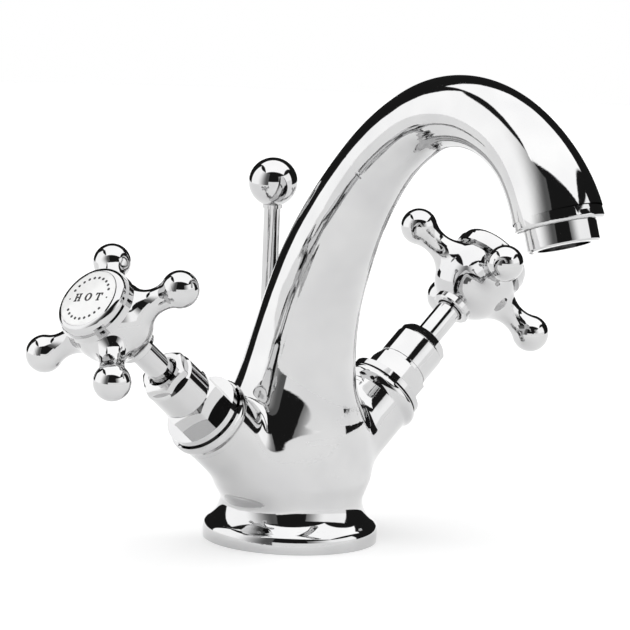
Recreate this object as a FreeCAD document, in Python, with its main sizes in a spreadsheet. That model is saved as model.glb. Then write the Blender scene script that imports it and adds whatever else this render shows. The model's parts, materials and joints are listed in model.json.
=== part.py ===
import FreeCAD, Part

# Bathroom mixer faucet: a one-hole basin mixer with two cross handles, an arched
# spout and a lift rod for the basin's pop-up waste.
#
# Frame: millimetres, +Z up.  The origin is the centre of the round base, on the deck
# that the base stands on.  The spout reaches towards -Y, the hot valve towards -X and
# the cold valve towards +X.
#
# The two valves are alike.  Each is drawn upright in a frame of its own, in which Z is
# the valve's axis and heights are stations along it, and is then tilted out to its side.

import math
import os
from types import SimpleNamespace

import Sketcher
from FreeCAD import Placement, Rotation, Vector

X_AXIS = Vector(1, 0, 0)
Y_AXIS = Vector(0, 1, 0)
Z_AXIS = Vector(0, 0, 1)

DIMENSIONS = {
    # body casting: round base with a cove above its rim
    "base_radius": 26.5,
    "rim_height": 3.6,
    "rim_shoulder_radius": 26.1,
    "rim_shoulder_height": 5.0,
    "cove_radius": 10.0,
    "waist_radius": 21.5,
    "waist_height": 13.5,
    # spout: a straight root and three tangent arcs that bend it towards the basin
    "root_height": 32.4,
    "rise_arc_radius": 130.7,
    "rise_arc_turn": 41.4,
    "shoulder_arc_radius": 72.0,
    "shoulder_arc_turn": 18.8,
    "crook_arc_radius": 41.5,
    "crook_arc_turn": 100.2,
    # spout: outer radius at nine places, evenly spaced from the waist to the outlet
    "spout_radius_a": 21.5,
    "spout_radius_b": 19.2,
    "spout_radius_c": 15.45,
    "spout_radius_d": 13.4,
    "spout_radius_e": 11.4,
    "spout_radius_f": 10.45,
    "spout_radius_g": 10.6,
    "spout_radius_i": 11.4,
    "spout_radius_j": 13.4,
    "outlet_edge_round": 0.8,
    "waterway_radius": 6.5,
    "chamber_floor_height": 36.0,
    # valve axes and the arms that carry the valves
    "valve_tilt": 50.0,
    "valve_origin_height": 11.6,
    "arm_start": 6.0,
    "arm_root_radius": 16.0,
    "arm_sweep_radius": 110.0,
    "arm_neck_radius": 11.8,
    "arm_neck_start": 36.0,
    "arm_neck_end": 42.0,
    "arm_lip_radius": 12.9,
    "arm_lip_start": 44.0,
    "arm_mouth": 46.2,
    "lip_round": 0.5,
    "arm_root_fillet": 4.0,
    "pocket_radius": 8.35,
    "pocket_floor": 27.0,
    "inlet_drill_radius": 4.0,
    "inlet_drill_end": 14.0,
    "cross_drill_radius": 2.8,
    "cross_drill_height": 46.0,
    "cross_drill_station": 36.0,
    # underside of the base
    "recess_radius": 17.0,
    "recess_depth": 5.0,
    "seal_groove_inner": 20.0,
    "seal_groove_outer": 23.4,
    "seal_groove_depth": 1.6,
    "inlet_spacing": 8.0,
    "inlet_offset": 1.0,
    "inlet_thread_radius": 4.5,
    "inlet_thread_depth": 12.0,
    "inlet_passage_top": 21.0,
    "stud_offset": 11.0,
    "stud_thread_radius": 3.4,
    "stud_thread_depth": 15.0,
    # lift rod, its bush and its knob
    "rod_offset": 13.4,
    "rod_radius": 2.5,
    "rod_foot": 6.0,
    "rod_top": 106.0,
    "rod_end_chamfer": 0.6,
    "rod_hole_radius": 2.8,
    "rod_hole_top": 80.0,
    "bush_radius": 3.3,
    "bush_bore_radius": 2.55,
    "bush_bottom": 34.0,
    "bush_top": 44.0,
    "knob_radius": 7.4,
    "knob_height": 107.0,
    "knob_collar_radius": 3.0,
    "knob_collar_bottom": 99.2,
    "knob_bore_top": 107.0,
    # bonnet: the valve's housing, screwed into the arm's mouth
    "shank_radius": 8.3,
    "shank_start": 40.0,
    "shell_radius": 7.2,
    "shell_start": 29.2,
    "collar_radius": 11.9,
    "collar_top": 49.0,
    "nut_across_flats": 16.6,
    "nut_top": 56.2,
    "barrel_radius": 8.2,
    "barrel_top": 66.4,
    "barrel_chamfer": 0.7,
    "disc_socket_radius": 6.3,
    "disc_socket_top": 44.0,
    "seal_bore_radius": 4.9,
    "seal_bore_top": 60.0,
    "bearing_radius": 3.06,
    "bearing_top": 62.0,
    "gland_socket_radius": 5.6,
    "window_start": 36.8,
    "window_end": 39.6,
    "window_width": 7.0,
    "bonnet_ring_inner": 8.5,
    "bonnet_ring_outer": 11.0,
    "bonnet_ring_thickness": 0.9,
    # gland nut on top of the bonnet
    "gland_across_flats": 13.6,
    "gland_top": 69.2,
    "gland_shank_radius": 5.5,
    "gland_shank_bottom": 63.6,
    "gland_bore_radius": 4.4,
    "gland_countersink": 0.7,
    # ceramic discs and the rubber seat under them
    "seat_radius": 6.9,
    "seat_bore_radius": 4.2,
    "seat_bottom": 27.0,
    "seat_top": 30.2,
    "fixed_disc_radius": 6.2,
    "fixed_disc_top": 32.4,
    "moving_disc_radius": 6.1,
    "moving_disc_bottom": 32.42,
    "moving_disc_top": 34.9,
    "disc_port_radius": 1.5,
    "disc_port_offset": 3.2,
    "drive_slot_width": 3.0,
    "drive_slot_depth": 1.2,
    # spindle
    "tang_width": 2.9,
    "tang_length": 9.0,
    "tang_bottom": 33.8,
    "drive_flange_radius": 6.0,
    "drive_flange_bottom": 35.0,
    "drive_flange_top": 36.6,
    "spindle_neck_radius": 2.8,
    "spindle_neck_top": 45.0,
    "spindle_body_radius": 4.6,
    "spindle_body_top": 59.8,
    "spindle_radius": 3.0,
    "spindle_top": 91.0,
    "ring_groove_radius": 3.4,
    "ring_groove_width": 1.9,
    "lower_ring_station": 49.5,
    "upper_ring_station": 54.5,
    "ring_wire_radius": 0.72,
    "clip_groove_radius": 2.5,
    "clip_bottom": 62.7,
    "clip_thickness": 0.7,
    "clip_outer_radius": 4.3,
    "clip_gap": 3.4,
    "thrust_washer_bottom": 62.05,
    "thrust_washer_top": 62.65,
    "thrust_washer_radius": 5.0,
    "spline_start": 84.0,
    "spline_root_radius": 2.6,
    "spindle_thread_radius": 1.65,
    "spindle_thread_depth": 9.0,
    # stem sleeve over the spindle
    "stem_radius": 3.9,
    "stem_bore_radius": 3.03,
    "stem_bottom": 67.0,
    "stem_top": 83.6,
    # splined bush inside the handle
    "spline_bush_radius": 4.36,
    "spline_bush_bore": 3.02,
    "spline_bush_top": 90.9,
    # cross handle
    "handle_station": 95.2,
    "hub_radius": 12.5,
    "hub_collar_radius": 6.1,
    "hub_collar_bottom": 82.1,
    "hub_collar_chamfer": 0.4,
    "hub_bore_radius": 4.4,
    "hub_bore_top": 91.2,
    "crown_radius": 12.2,
    "crown_bottom": 101.6,
    "crown_top": 104.0,
    "crown_socket_radius": 8.6,
    "crown_socket_floor": 97.6,
    "screw_hole_radius": 2.2,
    "arm_reach": 24.1,
    "arm_ball_radius": 5.65,
    "handle_neck_radius": 3.75,
    "arm_fillet": 8.0,
    "hot_handle_turn": 39.0,
    "cold_handle_turn": 60.9,
    # handle screw
    "screw_radius": 2.0,
    "screw_core_radius": 1.6,
    "screw_bottom": 84.5,
    "screw_head_radius": 3.6,
    "screw_head_top": 100.0,
    "screw_drive_across_flats": 2.5,
    "screw_drive_depth": 1.4,
    # index: a chrome bezel that screws into the crown and holds a porcelain disc
    "bezel_radius": 11.6,
    "bezel_shoulder": 105.4,
    "bezel_round": 2.1,
    "bezel_top": 107.3,
    "bezel_window_radius": 9.6,
    "bezel_ledge_radius": 7.6,
    "bezel_ledge": 105.3,
    "bezel_shank_radius": 8.5,
    "bezel_shank_bottom": 100.6,
    "index_radius": 9.55,
    "index_edge_top": 107.2,
    "index_crown_radius": 120.0,
    # aerator, measured outwards from the spout's end
    "aerator_socket_radius": 9.3,
    "aerator_socket_depth": 9.0,
    "aerator_thread_radius": 9.25,
    "aerator_thread_length": 6.6,
    "aerator_skirt_radius": 10.6,
    "aerator_skirt_gap": 0.1,
    "aerator_skirt_length": 6.3,
    "aerator_skirt_chamfer": 0.5,
    "aerator_bore_radius": 8.4,
    "aerator_ledge_radius": 7.7,
    "aerator_ledge_length": 2.4,
    "insert_radius": 8.3,
    "insert_top": 5.6,
    "insert_bottom": 2.3,
    "insert_hole_radius": 0.6,
    "screen_radius": 8.3,
    "screen_thickness": 0.5,
    "screen_hole_radius": 0.55,
    "screen_hole_pitch": 2.0,
    "aerator_washer_inner": 6.6,
    "aerator_washer_top": 8.8,
}

SPOUT_RADII = "abcdefgij"
SPOUT_SECTIONS = 33
SPLINE_TEETH = 18


class Size:
    """A length that keeps both its value and the spreadsheet expression behind it."""

    def __init__(self, value, text):
        self.value = value
        self.text = text

    def combine(self, sign, other):
        other = as_size(other)
        result = {"+": self.value + other.value, "-": self.value - other.value,
                  "*": self.value * other.value}[sign]
        return Size(result, f"({self.text} {sign} {other.text})")

    def __add__(self, other):
        return self.combine("+", other)

    def __sub__(self, other):
        return self.combine("-", other)

    def __mul__(self, other):
        return self.combine("*", other)

    def __neg__(self):
        return self * -1


def as_size(number):
    """A Size as it is, and a plain number as a Size with nothing from the sheet in it."""
    return number if isinstance(number, Size) else Size(number, f"({number:.9f})")


doc = FreeCAD.newDocument("basin_mixer")
sheet = doc.addObject("Spreadsheet::Sheet", "dims")
for row, (alias, value) in enumerate(DIMENSIONS.items(), start=1):
    sheet.set(f"A{row}", alias)
    sheet.set(f"B{row}", str(value))
    sheet.setAlias(f"B{row}", alias)
doc.recompute()
dims = SimpleNamespace(**{alias: Size(value, f"dims.{alias}") for alias, value in DIMENSIONS.items()})


# ---- drawing helpers -----------------------------------------------------------------

def new_body(label):
    """An empty PartDesign body, which becomes one sub-part and one STEP file."""
    return doc.addObject("PartDesign::Body", label)


def new_sketch(body, name, plane="XZ_Plane", offset=Placement()):
    """A sketch on one of the body's own origin planes, moved by offset."""
    sketch = body.newObject("Sketcher::SketchObject", f"{body.Label}_{name}")
    support = next(item for item in body.Origin.OriginFeatures if item.Role == plane)
    sketch.AttachmentSupport = [(support, "")]
    sketch.MapMode = "FlatFace"
    sketch.AttachmentOffset = offset
    return sketch


def bind_point(sketch, edge, end, x, y):
    """Tie one end of an edge to its two sizes."""
    for size, kind, axis in ((as_size(x), "DistanceX", -2), (as_size(y), "DistanceY", -1)):
        if abs(size.value) < 1e-7:
            sketch.addConstraint(Sketcher.Constraint("PointOnObject", edge, end, axis))
            continue
        index = sketch.addConstraint(Sketcher.Constraint(kind, -1, 1, edge, end, size.value))
        if "dims." in size.text:
            sketch.setExpression(f"Constraints[{index}]", size.text)


def arc_between(start, end, radius):
    """The arc from start to end.  A positive radius turns left on the way, a negative right."""
    chord = end - start
    rise = math.sqrt(radius ** 2 - (chord.Length / 2) ** 2)
    left = Vector(-chord.y, chord.x, 0).normalize()
    centre = (start + end) * 0.5 + left * math.copysign(rise, radius)
    first, last = (start, end) if radius > 0 else (end, start)
    angles = [math.atan2(point.y - centre.y, point.x - centre.x) for point in (first, last)]
    return Part.ArcOfCircle(Part.Circle(centre, Z_AXIS, abs(radius)), *angles)


def draw_outline(sketch, corners):
    """A closed outline through corners (x, y).  A third item, a radius, makes the edge
    that ends at that corner an arc, as arc_between does."""
    ends = []
    for index, corner in enumerate(corners):
        before = corners[index - 1]
        start, end = (Vector(as_size(p[0]).value, as_size(p[1]).value, 0) for p in (before, corner))
        if len(corner) == 2:
            edge = sketch.addGeometry(Part.LineSegment(start, end))
            ends.append((edge, 1, 2))
            continue
        radius = as_size(corner[2])
        edge = sketch.addGeometry(arc_between(start, end, radius.value))
        ends.append((edge, 1, 2) if radius.value > 0 else (edge, 2, 1))
    for index, (edge, _, end) in enumerate(ends):
        following, start, _ = ends[(index + 1) % len(ends)]
        sketch.addConstraint(Sketcher.Constraint("Coincident", edge, end, following, start))
        bind_point(sketch, edge, end, corners[index][0], corners[index][1])
    for corner, (edge, _, _) in zip(corners, ends):
        if len(corner) == 3:
            radius = as_size(corner[2])
            size = radius if radius.value > 0 else -radius
            index = sketch.addConstraint(Sketcher.Constraint("Radius", edge, size.value))
            sketch.setExpression(f"Constraints[{index}]", size.text)


def draw_circle(sketch, radius, x=0, y=0):
    """A circle of the given radius about (x, y)."""
    centre = Vector(as_size(x).value, as_size(y).value, 0)
    edge = sketch.addGeometry(Part.Circle(centre, Z_AXIS, radius.value))
    bind_point(sketch, edge, 3, x, y)
    index = sketch.addConstraint(Sketcher.Constraint("Radius", edge, radius.value))
    sketch.setExpression(f"Constraints[{index}]", radius.text)


def turn(body, name, corners, cut=False, plane="XZ_Plane", offset=Placement()):
    """Turn an outline of (radius, station) corners about the sketch's upright axis."""
    sketch = new_sketch(body, f"{name}_profile", plane, offset)
    draw_outline(sketch, corners)
    kind = "PartDesign::Groove" if cut else "PartDesign::Revolution"
    feature = body.newObject(kind, f"{body.Label}_{name}")
    feature.Profile = sketch
    feature.ReferenceAxis = (sketch, ["V_Axis"])
    feature.Angle = 360
    body.Tip = feature
    return feature


def drill(body, name, radius, bottom, top, plane="XZ_Plane", offset=Placement()):
    """Cut a round bore about the sketch's upright axis, from one station to another."""
    corners = [(0, bottom), (radius, bottom), (radius, top), (0, top)]
    return turn(body, name, corners, True, plane, offset)


def extrude(body, name, draw, bottom, height, cut=False):
    """Pad or pocket what draw puts on a level sketch, upwards from bottom."""
    level = Placement(Vector(0, 0, bottom.value), Rotation())
    sketch = new_sketch(body, f"{name}_outline", "XY_Plane", level)
    sketch.setExpression("AttachmentOffset.Base.z", bottom.text)
    draw(sketch)
    kind = "PartDesign::Pocket" if cut else "PartDesign::Pad"
    feature = body.newObject(kind, f"{body.Label}_{name}")
    feature.Profile = sketch
    feature.Length = height.value
    feature.setExpression("Length", height.text)
    feature.Reversed = cut
    body.Tip = feature
    return feature


def hexagon(across_flats, first_corner):
    """What draws a regular hexagon with one corner at the angle first_corner, in degrees."""
    def draw(sketch):
        corners = []
        for step in range(6):
            angle = math.radians(first_corner + 60 * step)
            reach = across_flats * (1 / math.sqrt(3))
            corners.append((reach * math.cos(angle), reach * math.sin(angle)))
        draw_outline(sketch, corners)
    return draw


def pattern(body, feature, count):
    """Repeat a feature about the body's upright axis."""
    copies = body.newObject("PartDesign::PolarPattern", f"{feature.Label}_pattern")
    copies.Originals = [feature]
    axis = next(item for item in body.Origin.OriginFeatures if item.Role == "Z_Axis")
    copies.Axis = (axis, [""])
    copies.Angle = 360
    copies.Occurrences = count
    body.Tip = copies
    return copies


def round_edges(body, name, radius, wanted):
    """Fillet every edge of the body's tip that wanted(edge) picks."""
    doc.recompute()
    base = body.Tip
    names = [f"Edge{i}" for i, edge in enumerate(base.Shape.Edges, start=1) if wanted(edge)]
    fillet = body.newObject("PartDesign::Fillet", f"{body.Label}_{name}")
    fillet.Base = (base, names)
    fillet.Radius = radius.value
    fillet.setExpression("Radius", radius.text)
    body.Tip = fillet
    return fillet


def ring(body, inner, outer, bottom, top):
    """A plain washer."""
    return turn(body, "ring", [(inner, bottom), (outer, bottom), (outer, top), (inner, top)])


# ---- spout centreline ----------------------------------------------------------------

SPOUT_ARCS = ((dims.rise_arc_radius, dims.rise_arc_turn), (dims.shoulder_arc_radius, dims.shoulder_arc_turn),
              (dims.crook_arc_radius, dims.crook_arc_turn))
SPOUT_LENGTH = (dims.root_height.value - dims.waist_height.value
                + sum(radius.value * math.radians(turned.value) for radius, turned in SPOUT_ARCS))


def spout_place(distance):
    """Where the spout's centreline is at a distance from the waist.  The placement's Z
    points along the flow."""
    straight = dims.root_height.value - dims.waist_height.value
    y, z, heading = 0.0, dims.waist_height.value + min(distance, straight), 90.0
    left = distance - straight
    for radius, turned in SPOUT_ARCS:
        step = min(max(left, 0.0) / radius.value, math.radians(turned.value))
        before, after = math.radians(heading), math.radians(heading) - step
        y -= radius.value * (math.sin(before) - math.sin(after))
        z += radius.value * (math.cos(after) - math.cos(before))
        heading = math.degrees(after)
        left -= radius.value * step
    return Placement(Vector(0, y, z), Rotation(X_AXIS, 90 - heading))


def spout_radius(fraction):
    """The spout's outer radius at a fraction of its length: a smooth curve through the
    nine radii of the sheet."""
    radii = [getattr(dims, f"spout_radius_{letter}") for letter in SPOUT_RADII]
    place = fraction * (len(radii) - 1)
    first = min(int(place), len(radii) - 2)
    t = place - first
    weights = ((-t + 2 * t ** 2 - t ** 3) / 2, (2 - 5 * t ** 2 + 3 * t ** 3) / 2,
               (t + 4 * t ** 2 - 3 * t ** 3) / 2, (t ** 3 - t ** 2) / 2)
    neighbours = [radii[min(max(first + shift, 0), len(radii) - 1)] for shift in (-1, 0, 1, 2)]
    total = neighbours[0] * weights[0]
    for radius, weight in zip(neighbours[1:], weights[1:]):
        total = total + radius * weight
    return total


OUTLET = spout_place(SPOUT_LENGTH)


def loft_spout(body, name, kind, first_fraction, radius_at):
    """Loft round sections along the spout, from a fraction of its length to its outlet."""
    sections = []
    for index in range(SPOUT_SECTIONS):
        fraction = first_fraction + (1 - first_fraction) * index / (SPOUT_SECTIONS - 1)
        sketch = new_sketch(body, f"{name}_section", "XY_Plane", spout_place(fraction * SPOUT_LENGTH))
        draw_circle(sketch, radius_at(fraction))
        sections.append(sketch)
    loft = body.newObject(kind, f"{body.Label}_{name}")
    loft.Profile = sections[0]
    loft.Sections = sections[1:]
    loft.Ruled = False
    body.Tip = loft
    return loft


# ---- valve frame ---------------------------------------------------------------------

SIDES = {"hot": Vector(0, -1, 0), "cold": Vector(0, 1, 0)}


def tilt_valve_part(body, side):
    """Move a sub-part that is drawn upright onto its side's valve axis."""
    body.Placement = Placement(Vector(0, 0, dims.valve_origin_height.value),
                               Rotation(SIDES[side], dims.valve_tilt.value))
    body.setExpression("Placement.Base.z", "dims.valve_origin_height")
    body.setExpression("Placement.Rotation.Angle", "dims.valve_tilt")


def valve_sketch_offset(side):
    """The same move for a sketch on the casting's XZ plane, whose normal is -Y."""
    angle = dims.valve_tilt.value if side == "hot" else -dims.valve_tilt.value
    return Placement(Vector(0, dims.valve_origin_height.value, 0), Rotation(Z_AXIS, angle))


# ---- fixed parts ---------------------------------------------------------------------

def make_body_casting():
    """Base, spout and both valve arms in one brass casting, with its bores."""
    body = new_body("body_casting")
    turn(body, "pedestal", [
        (0, 0), (dims.base_radius, 0), (dims.base_radius, dims.rim_height),
        (dims.rim_shoulder_radius, dims.rim_shoulder_height),
        (dims.waist_radius, dims.waist_height, -dims.cove_radius),
        (0, dims.waist_height)])
    loft_spout(body, "spout", "PartDesign::AdditiveLoft", 0, spout_radius)
    for side in SIDES:
        turn(body, f"{side}_arm", [
            (0, dims.arm_start), (dims.arm_root_radius, dims.arm_start),
            (dims.arm_neck_radius, dims.arm_neck_start, -dims.arm_sweep_radius),
            (dims.arm_neck_radius, dims.arm_neck_end),
            (dims.arm_lip_radius, dims.arm_lip_start),
            (dims.arm_lip_radius, dims.arm_mouth - dims.lip_round),
            (dims.arm_lip_radius - dims.lip_round, dims.arm_mouth), (0, dims.arm_mouth)],
            offset=valve_sketch_offset(side))
    round_edges(body, "arm_roots", dims.arm_root_fillet, lambda edge: not edge.Degenerated
                and isinstance(edge.Curve, Part.BSplineCurve)
                and edge.BoundBox.ZMax < dims.cross_drill_height.value)
    round_edges(body, "outlet_edge", dims.outlet_edge_round, lambda edge: not edge.Degenerated
                and (edge.CenterOfMass - OUTLET.Base).Length < 0.5)
    for side in SIDES:
        drill(body, f"{side}_pocket", dims.pocket_radius, dims.pocket_floor, dims.arm_mouth + 1,
              offset=valve_sketch_offset(side))
        drill(body, f"{side}_feed", dims.inlet_drill_radius, dims.inlet_drill_end,
              dims.pocket_floor + 0.5, offset=valve_sketch_offset(side))
    loft_spout(body, "waterway", "PartDesign::SubtractiveLoft",
               (dims.chamber_floor_height.value - dims.waist_height.value) / SPOUT_LENGTH,
               lambda fraction: dims.waterway_radius)
    for side, sign in (("hot", -1), ("cold", 1)):
        tilt = math.radians(dims.valve_tilt.value)
        reach = dims.cross_drill_station.value * math.sin(tilt)
        fall = (dims.cross_drill_height.value - dims.valve_origin_height.value
                - dims.cross_drill_station.value * math.cos(tilt))
        slope = math.degrees(math.atan2(reach, -fall))
        drill(body, f"{side}_cross_drill", dims.cross_drill_radius, as_size(0),
              as_size(math.hypot(reach, fall)),
              offset=Placement(Vector(0, dims.cross_drill_height.value, 0),
                               Rotation(Z_AXIS, -sign * slope)))
    extrude(body, "recess", lambda sketch: draw_circle(sketch, dims.recess_radius), as_size(0),
            dims.recess_depth, True)
    turn(body, "seal_groove", [
        (dims.seal_groove_inner, 0), (dims.seal_groove_outer, 0),
        (dims.seal_groove_outer, dims.seal_groove_depth),
        (dims.seal_groove_inner, dims.seal_groove_depth)], True)
    for sign in (-1, 1):
        for name, radius, depth in (
                ("inlet", dims.inlet_thread_radius, dims.inlet_thread_depth),
                ("passage", dims.inlet_drill_radius, dims.inlet_passage_top - dims.recess_depth)):
            extrude(body, name, lambda sketch: draw_circle(
                sketch, radius, dims.inlet_spacing * sign, -dims.inlet_offset),
                dims.recess_depth, depth, True)
    extrude(body, "stud_hole", lambda sketch: draw_circle(
        sketch, dims.stud_thread_radius, 0, -dims.stud_offset),
        dims.recess_depth, dims.stud_thread_depth, True)
    for name, radius, top in (("rod_hole", dims.rod_hole_radius, dims.rod_hole_top),
                              ("bush_hole", dims.bush_radius + 0.02, dims.bush_top)):
        extrude(body, name, lambda sketch: draw_circle(sketch, radius, 0, dims.rod_offset),
                dims.recess_depth, top - dims.recess_depth, True)
    drill(body, "aerator_socket", dims.aerator_socket_radius, -dims.aerator_socket_depth, as_size(2),
          "YZ_Plane", Placement(Vector(OUTLET.Base.y, OUTLET.Base.z, 0),
                                Rotation(Z_AXIS, math.degrees(OUTLET.Rotation.Angle))))
    return body


def make_base_parts():
    """The seal under the base, and the bush that guides the lift rod."""
    seal = new_body("base_seal")
    ring(seal, dims.seal_groove_inner + 0.1, dims.seal_groove_outer - 0.1, 0, dims.seal_groove_depth)
    bush = new_body("lift_rod_bush")
    ring(bush, dims.bush_bore_radius, dims.bush_radius, dims.bush_bottom, dims.bush_top)
    bush.Placement = Placement(Vector(0, dims.rod_offset.value, 0), Rotation())
    bush.setExpression("Placement.Base.y", "dims.rod_offset")


def make_lift_rod():
    """The lift rod, which ends inside the base, and its knob."""
    rod = new_body("lift_rod")
    turn(rod, "shaft", [
        (0, dims.rod_foot), (dims.rod_radius - dims.rod_end_chamfer, dims.rod_foot),
        (dims.rod_radius, dims.rod_foot + dims.rod_end_chamfer), (dims.rod_radius, dims.rod_top),
        (0, dims.rod_top)])
    knob = new_body("lift_rod_knob")
    collar = dims.knob_collar_radius
    seam = dims.knob_height.value - math.sqrt(dims.knob_radius.value ** 2 - collar.value ** 2)
    turn(knob, "ball", [
        (dims.rod_radius + 0.02, dims.knob_collar_bottom), (collar, dims.knob_collar_bottom),
        (collar, as_size(seam)), (dims.knob_radius, dims.knob_height, dims.knob_radius),
        (0, dims.knob_height + dims.knob_radius, dims.knob_radius), (0, dims.knob_bore_top),
        (dims.rod_radius + 0.02, dims.knob_bore_top)])
    for body in (rod, knob):
        body.Placement = Placement(Vector(0, dims.rod_offset.value, 0), Rotation())
        body.setExpression("Placement.Base.y", "dims.rod_offset")


def hole_grid(pitch, reach):
    """Centres of a square grid of holes inside a circle."""
    steps = range(-int(reach / pitch), int(reach / pitch) + 1)
    return [(i * pitch, j * pitch) for i in steps for j in steps if math.hypot(i, j) * pitch <= reach]


def make_aerator():
    """Chrome housing, plastic insert, two wire screens and a rubber washer.  Their frame
    has Z along the outlet, so what lies inside the spout is below zero."""
    housing = new_body("aerator_housing")
    gap = dims.aerator_skirt_gap
    length = dims.aerator_skirt_length
    turn(housing, "shell", [
        (dims.aerator_bore_radius, -dims.aerator_thread_length),
        (dims.aerator_thread_radius, -dims.aerator_thread_length), (dims.aerator_thread_radius, gap),
        (dims.aerator_skirt_radius, gap), (dims.aerator_skirt_radius, length - dims.aerator_skirt_chamfer),
        (dims.aerator_skirt_radius - dims.aerator_skirt_chamfer, length),
        (dims.aerator_ledge_radius, length), (dims.aerator_ledge_radius, dims.aerator_ledge_length),
        (dims.aerator_bore_radius, dims.aerator_ledge_length)])
    insert = new_body("aerator_insert")
    turn(insert, "plug", [
        (0, -dims.insert_top), (dims.insert_radius, -dims.insert_top),
        (dims.insert_radius, dims.insert_bottom - dims.screen_thickness),
        (0, dims.insert_bottom - dims.screen_thickness)])
    first = extrude(insert, "jet", lambda sketch: draw_circle(sketch, dims.insert_hole_radius, 5.6, 0),
                    -dims.insert_top, dims.insert_top + dims.insert_bottom, True)
    pattern(insert, first, 12)
    second = extrude(insert, "inner_jet", lambda sketch: draw_circle(
        sketch, dims.insert_hole_radius, 3.0, 0),
        -dims.insert_top, dims.insert_top + dims.insert_bottom, True)
    pattern(insert, second, 6)
    bodies = [housing, insert]
    for label, bottom in (("outlet_screen", dims.insert_bottom - dims.screen_thickness),
                          ("inlet_screen", -dims.insert_top - dims.screen_thickness)):
        screen = new_body(label)
        turn(screen, "disc", [(0, bottom), (dims.screen_radius, bottom),
                              (dims.screen_radius, bottom + dims.screen_thickness),
                              (0, bottom + dims.screen_thickness)])

        def draw_holes(sketch):
            for x, y in hole_grid(dims.screen_hole_pitch.value, dims.aerator_washer_inner.value - 0.6):
                draw_circle(sketch, dims.screen_hole_radius, x, y)
        extrude(screen, "mesh", draw_holes, bottom, dims.screen_thickness, True)
        bodies.append(screen)
    washer = new_body("aerator_washer")
    ring(washer, dims.aerator_washer_inner, dims.aerator_thread_radius, -dims.aerator_washer_top,
         -dims.aerator_thread_length)
    bodies.append(washer)
    for body in bodies:
        body.Placement = OUTLET


# ---- valve parts, made once for each side --------------------------------------------

def make_bonnet(side, nut_angle, gland_angle):
    """The chromed housing, the sealing ring under its collar, and the gland nut."""
    bonnet = new_body(f"{side}_bonnet")
    turn(bonnet, "outside", [
        (0, dims.shell_start), (dims.shell_radius, dims.shell_start),
        (dims.shell_radius, dims.shank_start), (dims.shank_radius, dims.shank_start),
        (dims.shank_radius, dims.arm_mouth + dims.bonnet_ring_thickness),
        (dims.collar_radius, dims.arm_mouth + dims.bonnet_ring_thickness),
        (dims.collar_radius, dims.collar_top), (dims.barrel_radius, dims.collar_top),
        (dims.barrel_radius, dims.barrel_top - dims.barrel_chamfer),
        (dims.barrel_radius - dims.barrel_chamfer, dims.barrel_top), (0, dims.barrel_top)])
    extrude(bonnet, "nut", hexagon(dims.nut_across_flats, nut_angle), dims.collar_top,
            dims.nut_top - dims.collar_top)
    chamfer_nut(bonnet, dims.nut_across_flats, dims.nut_top)
    turn(bonnet, "bore", [
        (0, dims.shell_start), (dims.disc_socket_radius, dims.shell_start),
        (dims.disc_socket_radius, dims.disc_socket_top), (dims.seal_bore_radius, dims.disc_socket_top),
        (dims.seal_bore_radius, dims.seal_bore_top), (dims.bearing_radius, dims.seal_bore_top),
        (dims.bearing_radius, dims.bearing_top), (dims.gland_socket_radius, dims.bearing_top),
        (dims.gland_socket_radius, dims.barrel_top), (0, dims.barrel_top)], True)
    half = dims.window_width * 0.5
    reach = dims.shank_radius + 1
    extrude(bonnet, "windows", lambda sketch: draw_outline(
        sketch, [(reach, -half), (reach, half), (-reach, half), (-reach, -half)]),
        dims.window_start, dims.window_end - dims.window_start, True)
    seal = new_body(f"{side}_bonnet_ring")
    ring(seal, dims.bonnet_ring_inner, dims.bonnet_ring_outer, dims.arm_mouth,
         dims.arm_mouth + dims.bonnet_ring_thickness)
    gland = new_body(f"{side}_gland_nut")
    turn(gland, "shank", [
        (0, dims.gland_shank_bottom), (dims.gland_shank_radius, dims.gland_shank_bottom),
        (dims.gland_shank_radius, dims.barrel_top), (0, dims.barrel_top)])
    extrude(gland, "head", hexagon(dims.gland_across_flats, gland_angle), dims.barrel_top,
            dims.gland_top - dims.barrel_top)
    chamfer_nut(gland, dims.gland_across_flats, dims.gland_top)
    turn(gland, "bore", [
        (0, dims.gland_shank_bottom), (dims.gland_bore_radius, dims.gland_shank_bottom),
        (dims.gland_bore_radius, dims.gland_top - dims.gland_countersink),
        (dims.gland_bore_radius + dims.gland_countersink, dims.gland_top), (0, dims.gland_top)], True)
    return [bonnet, seal, gland]


def chamfer_nut(body, across_flats, top):
    """Turn off a hexagon's upper corners at 30 degrees, starting inside its flats."""
    inside = across_flats * 0.48
    outside = across_flats * 0.62
    drop = (outside - inside) * math.tan(math.radians(30))
    turn(body, "corner_chamfer", [
        (inside, top), (outside, top - drop), (outside, top + 1), (inside, top + 1)], True)


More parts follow.
